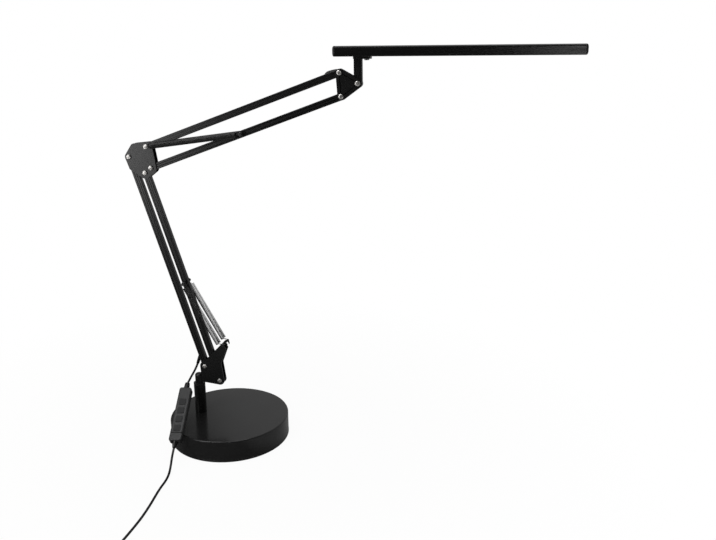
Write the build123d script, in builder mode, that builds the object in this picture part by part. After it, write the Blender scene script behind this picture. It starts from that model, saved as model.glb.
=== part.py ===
import os
from math import ceil, cos, pi, radians, sin, tan

from build123d import *

# A balanced-arm LED desk lamp. The origin is the centre of the base's underside, +Z is up, the two
# arms lie in the XZ plane and +X points from the post towards the lamp head. Sizes in millimetres.

# Weighted base
BASE_D = 195.6
BASE_H = 36.6
BASE_EDGE_R = 1.8
BASE_LIP = 0.25
BASE_LIP_H = 3.0
BASE_LIP_R = 0.2
COVER_WALL = 1.5
COVER_LIFT = 1.0
PAD_T = 2.0
PAD_INSET = 5.0
FLOOR_T = 1.2
WEIGHT_T = 15.0
WEIGHT_BOSS_D = 40.0
BASE_FIT = 0.3
BASE_SCREWS = 4
BASE_SCREW_D = 4.0
BASE_SCREW_HEAD_D = 7.5
BASE_SCREW_HEAD_H = 1.6
BASE_SCREW_L = 10.0
BASE_SCREW_CIRCLE_D = 130.0
PAD_HOLE_D = 10.0

# Post and its swivel
POST_X = -51.0
POST_D = 19.0
POST_H = 51.4
POST_BOLT_D = 8.0
POST_BOLT_HEAD_D = 14.0
POST_BOLT_HEAD_H = 5.0
POST_BOLT_GRIP = 14.0
SPIGOT_D = 12.0
SPIGOT_L = 34.0
BUSH_WALL = 1.5
BUSH_FLANGE_T = 1.4
NECK_D = 13.0
NECK_H = 17.0
NECK_TOP_R = 4.0
RUN_CLEAR = 0.08
SHOULDER_GAP = 0.15

# Arm linkage, pivot to pivot in the arm plane
REAR_PIVOT_OUT = 14.0
REAR_PIVOT_UP = 32.5
LOWER_ARM = 358.0
LOWER_LEAN = 16.7
LOWER_LINK = 34.5
LOWER_LINK_ANGLE = -44.6
ELBOW_STEP_OUT = 32.3
ELBOW_STEP_UP = 17.1
UPPER_ARM = 320.2
UPPER_RISE = 20.3
UPPER_LINK = 33.5
UPPER_LINK_ANGLE = -85.7
TILT_PIVOT_OUT = 26.7
TILT_PIVOT_DOWN = 14.8

# Rectangular arm tubes and the side plates that hold them
TUBE = 8.0
TUBE_DEPTH = 10.5
TUBE_WALL = 0.9
TUBE_CORNER_R = 0.8
TUBE_SIDE_GAP = 0.3
PLATE_T = 1.5
PIVOT_EYE_R = 8.5
LINK_EYE_R = 7.5
PLATE_FOOT_OUT = 13.0
PLATE_FOOT_UP = 9.5
PLATE_FOOT_R = 6.0
PLATE_WAIST_OUT = 31.0
PLATE_WAIST_UP = 40.5
PLATE_WAIST_R = 11.0
HOOK_OUT = 50.0
HOOK_UP = 72.5
HOOK_R = 4.7
HOOK_HOLE_R = 2.6
HOOK_MOUTH_W = 4.4
HOOK_MOUTH_ANGLE = -58.0
ELBOW_EYE_R = 6.5
ELBOW_LOW_EYE_R = 9.0
ELBOW_CORNER_OUT = 10.0
ELBOW_CORNER_UP = 14.5
ELBOW_HEEL_OUT = 1.9
ELBOW_HEEL_DOWN = 17.4
ELBOW_HEEL_R = 2.6
HEAD_EYE_R = 5.5
TILT_EYE_R = 6.2

# Pivot bolts and nuts
BOLT_D = 4.0
BOLT_HEAD_D = 7.6
BOLT_HEAD_H = 2.6
BOLT_HEAD_EDGE = 0.8
NUT_FLATS = 7.0
NUT_H = 3.2
BOLT_TIP = 0.8

# Balance springs, one on each side of an arm
SPRING_SIDE = 11.6
SPRING_D = 8.6
WIRE_D = 1.3
WIRE_SIDES = 4
PIN_D = 4.0
HOOK_PIN_D = 2.4
PIN_HEAD_EXTRA = 1.2
PIN_HEAD_T = 1.2
LOOP_CLEAR = 0.2
LOOP_SHANK = 3.0
LOOP_BEND = 5.5
LOWER_SPRING_UP = 174.0
LOWER_SPRING_TURNS = 12
UPPER_SPRING_UP = 158.0
UPPER_SPRING_TURNS = 15

# Sleeves where the wires leave the arm tubes
SLEEVE_D = 6.0
SLEEVE_TIP_D = 4.8
SLEEVE_L = 14.0
SLEEVE_UP = 17.0
SLEEVE_TURN = 37.0
TOP_SLEEVE_D = 5.5
TOP_SLEEVE_TIP_D = 4.0
TOP_SLEEVE_L = 13.0
TOP_SLEEVE_BACK = 8.0
TOP_SLEEVE_TURN = 4.0

# Lamp head
HEAD_L = 346.0
HEAD_W = 46.0
HEAD_H = 14.4
HEAD_WALL = 1.6
HEAD_EDGE_R = 3.0
HEAD_CAP_T = 3.0
HEAD_CAP_R = 2.4
HEAD_OVERHANG = 33.0
STEM_W = 12.0
STEM_UP = 37.2
HEAD_REST_TILT = 0.55
STEM_FOOT_L = 25.0
STEM_FOOT_W = 18.0
STEM_FOOT_T = 3.5
MOUNT_PLATE_L = 52.0
MOUNT_PLATE_T = 2.4
DIFFUSER_T = 2.0
RAIL_T = 1.2
RAIL_H = 1.4
HEAD_FIT = 0.15
LED_BOARD_W = 24.0
LED_BOARD_T = 1.6
LED_ROWS = 2
LEDS_PER_ROW = 18
LED_L = 3.5
LED_W = 2.8
LED_T = 0.9
LED_ROW_PITCH = 11.0
HEAD_SCREW_D = 3.0
HEAD_SCREW_HEAD_D = 5.4
HEAD_SCREW_HEAD_H = 1.8
HEAD_SCREW_PITCH = 10.0

# In-line control, which leans on the rim of the base
CONTROL_LOW_X = -54.8
CONTROL_LOW_Y = -102.1
CONTROL_LOW_Z = 33.0
CONTROL_TURN = 7.3
CONTROL_PITCH = 33.6
CONTROL_L = 96.5
CONTROL_W = 20.0
CONTROL_T = 12.0
CONTROL_WALL = 1.6
CONTROL_CORNER_R = 4.0
CONTROL_EDGE_R = 2.2
CONTROL_FLOOR_EDGE_R = 1.2
SEAM_UP = 13.4
SEAM_W = 1.1
SEAM_DEPTH = 0.6
BUTTONS = 4
BUTTON_FIRST = 21.8
BUTTON_PITCH = 15.7
BUTTON_SIZE = 10.6
BUTTON_CORNER_R = 1.5
BUTTON_PROUD = 0.8
BUTTON_SIDE_GAP = 0.25
BUTTON_FLANGE = 1.0
BUTTON_FLANGE_T = 1.2
BUTTON_TRAVEL = 0.6
PLUNGER_D = 3.0
BOARD_T = 1.6
BOARD_GAP = 0.6
RELIEF_L = 10.0
RELIEF_D = 9.6
RELIEF_TIP_D = 4.8
RELIEF_HIGH_TIP_D = 7.8

# Lead: a limp round USB cable of 1.5 m
LEAD_D = 3.5
TABLE_GAP = 0.05
BOOT_RUN = 9.0
RELIEF_HIGH_RUN = 8.0
RELIEF_LOW_RUN = 16.0
COIL_RUN = 20.0
ARC_SHARE = 0.45
COIL_SIDES = 4
COIL_X = -16.0
COIL_Y = -362.0
COIL_INNER_R = 10.5
COIL_TURNS = 9
COIL_GAP = 0.5
COIL_NUDGE = 1e-4
TIE_T = 0.8
TIE_W = 8.0
TIE_GAP = 0.2
TIE_INNER_GAP = 1.2
TIE_ANGLE = 20.0
TAIL_L = 42.0
TAIL_RUN = 14.0
TAIL_DRIFT = 0.5
PLUG_GRIP_L = 24.0
PLUG_GRIP_W = 15.0
PLUG_GRIP_T = 8.0
PLUG_GRIP_R = 2.5
PLUG_SHELL_L = 18.7
PLUG_SHELL_W = 12.0
PLUG_SHELL_T = 4.5
PLUG_SHELL_WALL = 0.4
PLUG_TONGUE_T = 1.8


def polar(length, angle):
    return Vector(length * cos(radians(angle)), length * sin(radians(angle)))


def in_space(point, y=0.0):
    return Vector(point.X, y, point.Y)


# Levels of the stack under the arms
cover_top = BASE_H
post_top = BASE_H + POST_H
neck_base = post_top + BUSH_FLANGE_T + SHOULDER_GAP

# Pivots of the two parallelograms: X across, Y up in the arm plane
rear_pivot = Vector(POST_X + REAR_PIVOT_OUT, neck_base + REAR_PIVOT_UP)
front_pivot = rear_pivot + polar(LOWER_LINK, LOWER_LINK_ANGLE)
lower_run = polar(1, 90 + LOWER_LEAN)
elbow_rear = rear_pivot + lower_run * LOWER_ARM
elbow_front = front_pivot + lower_run * LOWER_ARM
elbow_top = elbow_rear + Vector(ELBOW_STEP_OUT, ELBOW_STEP_UP)
elbow_low = elbow_top + polar(UPPER_LINK, UPPER_LINK_ANGLE)
upper_run = polar(1, UPPER_RISE)
head_top = elbow_top + upper_run * UPPER_ARM
head_low = elbow_low + upper_run * UPPER_ARM
tilt_pivot = head_top + Vector(TILT_PIVOT_OUT, -TILT_PIVOT_DOWN)
hook = Vector(POST_X + HOOK_OUT, neck_base + HOOK_UP)
lower_spring_pin = front_pivot + lower_run * LOWER_SPRING_UP
hook_pin = hook + (lower_spring_pin - hook).normalized() * (HOOK_HOLE_R - HOOK_PIN_D / 2)
upper_spring_pin = elbow_low + upper_run * UPPER_SPRING_UP

# Half widths across the arm plane
plate_in = TUBE / 2 + TUBE_SIDE_GAP
plate_out = plate_in + PLATE_T
spring_out = SPRING_SIDE + WIRE_D / 2 + LOOP_CLEAR
bolt_hole_r = BOLT_D / 2 + RUN_CLEAR
pin_hole_r = PIN_D / 2

os.makedirs("parts", exist_ok=True)


def save(part, label):
    part.label = label
    export_step(part, f"parts/{label}.step")


# Base
post_plane = Plane((POST_X, 0, cover_top))
weight_r = BASE_D / 2 - BASE_LIP - COVER_WALL - BASE_FIT
floor_top = PAD_T + FLOOR_T
cavity_top = BASE_H - COVER_WALL

with BuildPart() as base_cover:
    with Locations((0, 0, COVER_LIFT)):
        Cylinder(BASE_D / 2 - BASE_LIP, BASE_H - COVER_LIFT, align=(Align.CENTER, Align.CENTER, Align.MIN))
    fillet(base_cover.edges().group_by(Axis.Z)[-1], BASE_EDGE_R)
    with Locations((0, 0, COVER_LIFT)):
        Cylinder(BASE_D / 2, BASE_LIP_H, align=(Align.CENTER, Align.CENTER, Align.MIN))
    lip_edge = base_cover.edges().filter_by(GeomType.CIRCLE).sort_by(SortBy.RADIUS)[-2:].sort_by(Axis.Z)[-1:]
    fillet(lip_edge, BASE_LIP_R)
    with Locations((0, 0, COVER_LIFT)):
        Cylinder(weight_r + BASE_FIT, cavity_top - COVER_LIFT,
                 align=(Align.CENTER, Align.CENTER, Align.MIN), mode=Mode.SUBTRACT)
    with BuildSketch(post_plane):
        Circle(POST_BOLT_D / 2 + BASE_FIT)
    extrude(amount=-COVER_WALL, mode=Mode.SUBTRACT)
save(base_cover.part, "base_cover")

screw_spots = PolarLocations(BASE_SCREW_CIRCLE_D / 2, BASE_SCREWS, start_angle=45).locations

with BuildPart() as base_weight:
    with Locations((0, 0, floor_top)):
        Cylinder(weight_r, WEIGHT_T, align=(Align.CENTER, Align.CENTER, Align.MIN))
    chamfer(base_weight.edges().group_by(Axis.Z)[-1], COVER_WALL)
    with BuildSketch(Plane((POST_X, 0, floor_top))):
        Circle(WEIGHT_BOSS_D / 2)
    extrude(amount=cavity_top - floor_top)
    with BuildSketch(post_plane):
        Circle(POST_BOLT_D / 2 + BASE_FIT)
    extrude(amount=-BASE_H, mode=Mode.SUBTRACT)
    with BuildSketch(Plane((POST_X, 0, floor_top))):
        Circle(POST_BOLT_HEAD_D / 2 + BASE_FIT)
    extrude(amount=POST_BOLT_HEAD_H + BASE_FIT, mode=Mode.SUBTRACT)
    with BuildSketch(Plane.XY.offset(floor_top)):
        with Locations(screw_spots):
            Circle(BASE_SCREW_D / 2)
    extrude(amount=BASE_SCREW_L, mode=Mode.SUBTRACT)
save(base_weight.part, "base_weight")

with BuildPart() as base_floor:
    with BuildSketch(Plane.XY.offset(PAD_T)):
        Circle(weight_r)
        with Locations(screw_spots):
            Circle(BASE_SCREW_D / 2 + BASE_FIT, mode=Mode.SUBTRACT)
    extrude(amount=FLOOR_T)
save(base_floor.part, "base_floor")

with BuildPart() as base_pad:
    with BuildSketch():
        Circle(BASE_D / 2 - PAD_INSET)
        with Locations(screw_spots):
            Circle(PAD_HOLE_D / 2, mode=Mode.SUBTRACT)
    extrude(amount=PAD_T)
save(base_pad.part, "base_pad")

with BuildPart() as base_screws:
    with BuildSketch(Plane.XY.offset(PAD_T)):
        with Locations(screw_spots):
            Circle(BASE_SCREW_HEAD_D / 2)
    extrude(amount=-BASE_SCREW_HEAD_H)
    with BuildSketch(Plane.XY.offset(PAD_T)):
        with Locations(screw_spots):
            Circle(BASE_SCREW_D / 2)
    extrude(amount=BASE_SCREW_L)
save(base_screws.part, "base_screws")

# Post with its bolt and swivel bush
bush_r = SPIGOT_D / 2 + RUN_CLEAR
bush_out_r = bush_r + BUSH_WALL
bush_depth = SPIGOT_L + SHOULDER_GAP

with BuildPart() as post:
    with BuildSketch(post_plane):
        Circle(POST_D / 2)
        Circle(POST_BOLT_D / 2, mode=Mode.SUBTRACT)
    extrude(amount=POST_H)
    with BuildSketch(post_plane.offset(POST_H)):
        Circle(bush_out_r)
    extrude(amount=-bush_depth, mode=Mode.SUBTRACT)
save(post.part, "post")

with BuildPart() as post_bolt:
    with BuildSketch(Plane((POST_X, 0, floor_top))):
        RegularPolygon(POST_BOLT_HEAD_D / 2, 6)
    extrude(amount=POST_BOLT_HEAD_H)
    with BuildSketch(Plane((POST_X, 0, floor_top + POST_BOLT_HEAD_H))):
        Circle(POST_BOLT_D / 2)
    extrude(amount=cover_top + POST_BOLT_GRIP - floor_top - POST_BOLT_HEAD_H)
save(post_bolt.part, "post_bolt")

with BuildPart() as post_bush:
    with BuildSketch(post_plane.offset(POST_H - bush_depth)):
        Circle(bush_out_r)
    extrude(amount=bush_depth)
    with BuildSketch(post_plane.offset(POST_H)):
        Circle(POST_D / 2)
    extrude(amount=BUSH_FLANGE_T)
    with BuildSketch(post_plane.offset(POST_H - bush_depth)):
        Circle(bush_r)
    extrude(amount=bush_depth + BUSH_FLANGE_T, mode=Mode.SUBTRACT)
save(post_bush.part, "post_bush")

# Turret: a swivel block between two side plates that end in spring hooks
plate_foot = Vector(POST_X + PLATE_FOOT_OUT, neck_base + PLATE_FOOT_UP)
plate_waist = Vector(POST_X + PLATE_WAIST_OUT, neck_base + PLATE_WAIST_UP)
tongue_h = NECK_H - (plate_foot.Y - neck_base - PLATE_FOOT_R)

with BuildPart() as swivel_block:
    with BuildSketch(Plane((POST_X, 0, neck_base - BUSH_FLANGE_T - SPIGOT_L))):
        Circle(SPIGOT_D / 2)
    extrude(amount=SPIGOT_L + BUSH_FLANGE_T)
    with BuildSketch(Plane((POST_X, 0, neck_base))):
        Circle(NECK_D / 2)
    extrude(amount=NECK_H)
    fillet(swivel_block.edges().group_by(Axis.Z)[-1], NECK_TOP_R)
    with BuildSketch(Plane((POST_X, 0, neck_base + NECK_H - NECK_TOP_R))):
        Rectangle(PLATE_FOOT_OUT + PLATE_FOOT_R, 2 * plate_in, align=(Align.MIN, Align.CENTER))
    extrude(amount=NECK_TOP_R - tongue_h)
save(swivel_block.part, "swivel_block")

near_plane = Plane.XZ.offset(plate_in)
far_plane = Plane.XZ.offset(-plate_out)
sides = (("near", near_plane), ("far", far_plane))


def eyes(*rounds):
    for centre, radius in rounds:
        with Locations(centre):
            Circle(radius)
    make_hull()


def pivot_holes(*centres):
    for centre in centres:
        with Locations(centre):
            Circle(BOLT_D / 2, mode=Mode.SUBTRACT)


for side, plane in sides:
    with BuildPart() as turret_plate:
        with BuildSketch(plane):
            eyes((rear_pivot, PIVOT_EYE_R), (front_pivot, LINK_EYE_R), (plate_foot, PLATE_FOOT_R),
                 (plate_waist, PLATE_WAIST_R))
        extrude(amount=PLATE_T)
        with BuildSketch(plane):
            eyes((rear_pivot, PLATE_FOOT_R), (plate_waist, PLATE_WAIST_R), (hook, HOOK_R))
        extrude(amount=PLATE_T)
        with BuildSketch(plane):
            for centre, radius in ((rear_pivot, BOLT_D / 2), (front_pivot, BOLT_D / 2), (hook, HOOK_HOLE_R)):
                with Locations(centre):
                    Circle(radius)
            with Locations(Location((hook.X, hook.Y), HOOK_MOUTH_ANGLE)):
                Rectangle(2 * HOOK_R, HOOK_MOUTH_W, align=(Align.MIN, Align.CENTER))
        extrude(amount=PLATE_T, mode=Mode.SUBTRACT)
    save(turret_plate.part, f"turret_plate_{side}")


def bolt_group(centres, head_side, nut_side):
    with BuildPart() as bolts:
        with BuildSketch(Plane.XZ.offset(head_side)):
            with Locations(centres):
                Circle(BOLT_HEAD_D / 2)
        extrude(amount=BOLT_HEAD_H)
        chamfer(bolts.edges().group_by(Axis.Y)[0], BOLT_HEAD_EDGE)
        with BuildSketch(Plane.XZ.offset(head_side)):
            with Locations(centres):
                Circle(BOLT_D / 2)
        extrude(amount=-(head_side + nut_side + NUT_H + BOLT_TIP))
    return bolts.part


def nut_group(centres, nut_side):
    with BuildPart() as nuts:
        with BuildSketch(Plane.XZ.offset(-nut_side)):
            with Locations(centres):
                RegularPolygon(NUT_FLATS / 2, 6, major_radius=False)
            with Locations(centres):
                Circle(BOLT_D / 2, mode=Mode.SUBTRACT)
        extrude(amount=-NUT_H)
    return nuts.part


def cross_pin(centre, pin_d):
    with BuildPart() as pin:
        with BuildSketch(Plane.XZ.offset(spring_out)):
            with Locations(centre):
                Circle(pin_d / 2)
        extrude(amount=-2 * spring_out)
        for end in (1, -1):
            with BuildSketch(Plane.XZ.offset(end * spring_out)):
                with Locations(centre):
                    Circle((pin_d + PIN_HEAD_EXTRA) / 2)
            extrude(amount=end * PIN_HEAD_T)
    return pin.part


save(bolt_group([rear_pivot, front_pivot], plate_out, plate_out), "turret_bolts")
save(nut_group([rear_pivot, front_pivot], plate_out), "turret_nuts")
save(cross_pin(hook_pin, HOOK_PIN_D), "spring_hook_pin")


# Arm tubes
def tube_plane(start, run):
    return Plane(in_space(start), x_dir=in_space(run), z_dir=(0, -1, 0))


def arm_tube(start, run, length, cross_holes=(), wire_hole=None):
    plane = tube_plane(start, run)
    with BuildPart() as tube:
        with BuildSketch(Plane(plane.origin, x_dir=(0, 1, 0), z_dir=plane.x_dir).offset(-TUBE_DEPTH)):
            RectangleRounded(TUBE, TUBE_DEPTH, TUBE_CORNER_R)
            Rectangle(TUBE - 2 * TUBE_WALL, TUBE_DEPTH - 2 * TUBE_WALL, mode=Mode.SUBTRACT)
        extrude(amount=length + 2 * TUBE_DEPTH)
        with BuildSketch(plane.offset(-TUBE)):
            with Locations((length / 2, 0)):
                SlotCenterToCenter(length, TUBE_DEPTH)
        extrude(amount=2 * TUBE, mode=Mode.INTERSECT)
        with BuildSketch(plane.offset(-TUBE)):
            with Locations((0, 0), (length, 0)):
                Circle(bolt_hole_r)
            for along in cross_holes:
                with Locations((along, 0)):
                    Circle(pin_hole_r)
        extrude(amount=2 * TUBE, mode=Mode.SUBTRACT)
        if wire_hole is not None:
            along, side = wire_hole
            wire_spot = plane.from_local_coords((along, 0, 0))
            with BuildSketch(Plane(wire_spot, x_dir=plane.x_dir, z_dir=plane.y_dir * side)):
                Circle(LEAD_D / 2)
            extrude(amount=TUBE_DEPTH, mode=Mode.SUBTRACT)
    return tube.part


save(arm_tube(rear_pivot, lower_run, LOWER_ARM, wire_hole=(SLEEVE_UP, 1)), "lower_rear_tube")
save(arm_tube(front_pivot, lower_run, LOWER_ARM, cross_holes=(LOWER_SPRING_UP,)), "lower_front_tube")
top_sleeve_up = UPPER_ARM - TOP_SLEEVE_BACK
save(arm_tube(elbow_top, upper_run, UPPER_ARM, wire_hole=(top_sleeve_up, 1)), "upper_top_tube")
save(arm_tube(elbow_low, upper_run, UPPER_ARM, cross_holes=(UPPER_SPRING_UP,)), "upper_bottom_tube")
save(cross_pin(lower_spring_pin, PIN_D), "lower_spring_pin")
save(cross_pin(upper_spring_pin, PIN_D), "upper_spring_pin")


# Rubber boots where the wires leave the tubes
def wire_boot(start, run, along, back_turn, length, root_d, tip_d, heading):
    plane = tube_plane(start, run)
    root = plane.from_local_coords((along, TUBE_DEPTH / 2, 0))
    direction = plane.x_dir * (heading * cos(radians(back_turn))) + plane.y_dir * sin(radians(back_turn))
    with BuildPart() as boot:
        with BuildSketch(Plane(root, z_dir=direction)):
            Circle(root_d / 2)
        with BuildSketch(Plane(root + direction * length, z_dir=direction)):
            Circle(tip_d / 2)
        loft()
        with BuildSketch(Plane(plane.origin, x_dir=(0, 1, 0), z_dir=plane.x_dir)):
            Rectangle(TUBE, TUBE_DEPTH)
        extrude(amount=along + length, mode=Mode.SUBTRACT)
    return boot.part, root + direction * length, direction


lower_boot, lead_top, lead_top_direction = wire_boot(
    rear_pivot, lower_run, SLEEVE_UP, SLEEVE_TURN, SLEEVE_L, SLEEVE_D, SLEEVE_TIP_D, -1)
save(lower_boot, "lower_wire_boot")
upper_boot, _, _ = wire_boot(
    elbow_top, upper_run, top_sleeve_up, TOP_SLEEVE_TURN, TOP_SLEEVE_L, TOP_SLEEVE_D, TOP_SLEEVE_TIP_D, -1)
save(upper_boot, "upper_wire_boot")


# Wound forms: every turn is a chain of arcs that meet in line
def biarc(start, start_dir, end, end_dir):
    span = end - start
    total = start_dir + end_dir
    bend = 2 * (1 - start_dir.dot(end_dir))
    ahead = span.dot(total)
    if bend < 1e-6:
        reach = span.dot(span) / (2 * ahead)
    else:
        reach = ((ahead ** 2 + bend * span.dot(span)) ** 0.5 - ahead) / bend
    middle = (start + end + (start_dir - end_dir) * reach) * 0.5
    middle_dir = (end - end_dir * reach - start - start_dir * reach).normalized()
    TangentArc(start, middle, tangent=start_dir)
    TangentArc(middle, end, tangent=middle_dir)


def least_gap(line, tube_d, samples, label):
    points = [line @ (i / samples) for i in range(samples + 1)]
    apart = ceil(3 * tube_d * samples / line.length)
    least = min((points[i] - points[j]).length for i in range(apart, samples + 1) for j in range(i - apart))
    print(f"{label}: length {line.length:.0f} mm, least gap to itself {least - tube_d:.2f} mm")


def wound_tube(line, tube_d, sides):
    with BuildPart() as tube:
        with BuildSketch(Plane(line @ 0, z_dir=line % 0)):
            RegularPolygon(tube_d / 2, sides)
        sweep(path=line, clean=False)
    return tube.part


# Balance springs: an open hook round the pin at each end and a stretched coil between them
def spring(low, low_pin_d, high, y, turns, label):
    low_end = in_space(low, y)
    high_end = in_space(high, y)
    axis = (high_end - low_end).normalized()
    span = (high_end - low_end).length
    across = axis.cross(Vector(0, 1, 0))
    side = Vector(0, 1, 0)
    low_loop_r = low_pin_d / 2 + LOOP_CLEAR + WIRE_D / 2
    high_loop_r = PIN_D / 2 + LOOP_CLEAR + WIRE_D / 2
    coil_r = (SPRING_D - WIRE_D) / 2
    lead_in = LOOP_SHANK + LOOP_BEND
    quarters = 4 * turns - 2
    rise = (span - 2 * lead_in) / quarters
    slope = rise / (pi / 2)

    def station(quarter):
        angle = (quarter - 1) * pi / 2
        spoke = across * cos(angle) + side * sin(angle)
        swing = side * cos(angle) - across * sin(angle)
        point = low_end + axis * (lead_in + quarter * rise) + spoke * coil_r
        return point, (axis * slope + swing * coil_r).normalized()

    def hook_end(pin, loop_r, outward, last_point, last_dir):
        shank = pin - across * loop_r
        tip = pin + across * loop_r
        crown = pin + outward * loop_r
        if outward.dot(axis) < 0:
            Line(tip - outward * WIRE_D, tip)
            biarc(tip, outward, crown, across * -1)
            biarc(crown, across * -1, shank, outward * -1)
            Line(shank, shank - outward * LOOP_SHANK)
            biarc(shank - outward * LOOP_SHANK, outward * -1, last_point, last_dir)
        else:
            biarc(last_point, last_dir, shank - outward * LOOP_SHANK, outward)
            Line(shank - outward * LOOP_SHANK, shank)
            biarc(shank, outward, crown, across)
            biarc(crown, across, tip, outward * -1)
            Line(tip, tip - outward * WIRE_D)

    with BuildLine() as wire:
        hook_end(low_end, low_loop_r, axis * -1, *station(0))
        for quarter in range(quarters):
            biarc(*station(quarter), *station(quarter + 1))
        hook_end(high_end, high_loop_r, axis, *station(quarters))
    line = wire.wire()
    least_gap(line, WIRE_D, 12 * quarters, label)
    save(wound_tube(line, WIRE_D, WIRE_SIDES), label)


for side, y in (("near", -SPRING_SIDE), ("far", SPRING_SIDE)):
    spring(hook_pin, HOOK_PIN_D, lower_spring_pin, y, LOWER_SPRING_TURNS, f"lower_spring_{side}")
    spring(elbow_top, BOLT_D, upper_spring_pin, y, UPPER_SPRING_TURNS, f"upper_spring_{side}")

# Elbow: two plates with four pivots, the upper front one a long bolt that also holds the springs
elbow_corner = elbow_rear + Vector(ELBOW_CORNER_OUT, ELBOW_CORNER_UP)
elbow_heel = elbow_rear + Vector(ELBOW_HEEL_OUT, -ELBOW_HEEL_DOWN)

for side, plane in sides:
    with BuildPart() as elbow_plate:
        with BuildSketch(plane):
            eyes((elbow_rear, ELBOW_EYE_R), (elbow_corner, ELBOW_EYE_R), (elbow_top, ELBOW_EYE_R),
                 (elbow_low, ELBOW_LOW_EYE_R), (elbow_front, ELBOW_LOW_EYE_R), (elbow_heel, ELBOW_HEEL_R))
            pivot_holes(elbow_rear, elbow_front, elbow_top, elbow_low)
        extrude(amount=PLATE_T)
    save(elbow_plate.part, f"elbow_plate_{side}")

elbow_short = [elbow_rear, elbow_front, elbow_low]
save(bolt_group(elbow_short, plate_out, plate_out), "elbow_bolts")
save(nut_group(elbow_short, plate_out), "elbow_nuts")
save(bolt_group([elbow_top], spring_out, spring_out), "elbow_spring_bolt")
save(nut_group([elbow_top], spring_out), "elbow_spring_nut")

# Head bracket: two kite-shaped plates that the parallelogram keeps upright
for side, plane in sides:
    with BuildPart() as head_plate:
        with BuildSketch(plane):
            eyes((head_top, HEAD_EYE_R), (head_low, HEAD_EYE_R), (tilt_pivot, TILT_EYE_R))
            pivot_holes(head_top, head_low, tilt_pivot)
        extrude(amount=PLATE_T)
    save(head_plate.part, f"head_plate_{side}")

head_pivots = [head_top, head_low, tilt_pivot]
save(bolt_group(head_pivots, plate_out, plate_out), "head_bolts")
save(nut_group(head_pivots, plate_out), "head_nuts")

# Lamp head on its tilting stem
head_left = tilt_pivot.X - HEAD_OVERHANG
head_right = head_left + HEAD_L
head_bottom = tilt_pivot.Y + STEM_UP
head_roof = head_bottom + HEAD_H - HEAD_WALL
rail_bottom = head_bottom + MOUNT_PLATE_T + HEAD_FIT
bay_w = HEAD_W - 2 * HEAD_WALL
insert_w = bay_w - 2 * HEAD_FIT
channel_left = head_left + HEAD_CAP_T
channel_right = head_right - HEAD_CAP_T
mount_plate_right = channel_left + MOUNT_PLATE_L
stem_foot_left = tilt_pivot.X - STEM_W / 2
head_screw_x = stem_foot_left + (STEM_W + STEM_FOOT_L) / 2
tilt_axis = Axis(in_space(tilt_pivot), (0, -1, 0))


def save_tilted(part, label):
    save(part.rotate(tilt_axis, HEAD_REST_TILT), label)


with BuildPart() as head_stem:
    with BuildSketch(Plane.XZ.offset(-TUBE / 2)):
        with Locations(tilt_pivot):
            Circle(STEM_W / 2)
            Rectangle(STEM_W, STEM_UP - STEM_FOOT_T, align=(Align.CENTER, Align.MIN))
            Circle(bolt_hole_r, mode=Mode.SUBTRACT)
    extrude(amount=TUBE)
    with BuildSketch(Plane.XY.offset(head_bottom - STEM_FOOT_T)):
        with Locations((stem_foot_left, 0)):
            Rectangle(STEM_FOOT_L, STEM_FOOT_W, align=(Align.MIN, Align.CENTER))
    extrude(amount=STEM_FOOT_T)
    fillet(head_stem.edges().filter_by(Axis.Z).group_by(Axis.X)[-1], STEM_FOOT_T)
    with BuildSketch(Plane.XY.offset(head_bottom)):
        with Locations((head_screw_x, 0)):
            with GridLocations(0, HEAD_SCREW_PITCH, 1, 2):
                Circle(HEAD_SCREW_D / 2)
    extrude(amount=-STEM_FOOT_T, mode=Mode.SUBTRACT)
save_tilted(head_stem.part, "head_stem")

with BuildPart() as head_screws:
    with BuildSketch(Plane.XY.offset(head_bottom - STEM_FOOT_T)):
        with Locations((head_screw_x, 0)):
            with GridLocations(0, HEAD_SCREW_PITCH, 1, 2):
                Circle(HEAD_SCREW_HEAD_D / 2)
    extrude(amount=-HEAD_SCREW_HEAD_H)
    with BuildSketch(Plane.XY.offset(head_bottom - STEM_FOOT_T)):
        with Locations((head_screw_x, 0)):
            with GridLocations(0, HEAD_SCREW_PITCH, 1, 2):
                Circle(HEAD_SCREW_D / 2)
    extrude(amount=STEM_FOOT_T + MOUNT_PLATE_T)
save_tilted(head_screws.part, "head_screws")


def head_outline():
    with Locations((0, head_bottom)):
        outline = Rectangle(HEAD_W, HEAD_H, align=(Align.CENTER, Align.MIN))
    fillet(outline.vertices().group_by(Axis.Y)[-1], HEAD_EDGE_R)


with BuildPart() as head_housing:
    with BuildSketch(Plane.YZ.offset(channel_left)):
        head_outline()
        with Locations((0, head_bottom)):
            Rectangle(bay_w, HEAD_H - HEAD_WALL, align=(Align.CENTER, Align.MIN), mode=Mode.SUBTRACT)
        for edge in (-1, 1):
            with Locations((edge * (bay_w - RAIL_T) / 2, rail_bottom)):
                Rectangle(RAIL_T, RAIL_H, align=(Align.CENTER, Align.MIN))
    extrude(amount=channel_right - channel_left)
save_tilted(head_housing.part, "head_housing")

for end, start, reach in (("left", channel_left, -HEAD_CAP_T), ("right", channel_right, HEAD_CAP_T)):
    with BuildPart() as head_cap:
        with BuildSketch(Plane.YZ.offset(start)):
            head_outline()
        extrude(amount=reach)
        outer_face = head_cap.faces().sort_by(Axis.X)[0 if reach < 0 else -1]
        fillet(outer_face.edges(), HEAD_CAP_R)
    save_tilted(head_cap.part, f"head_cap_{end}")

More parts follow.
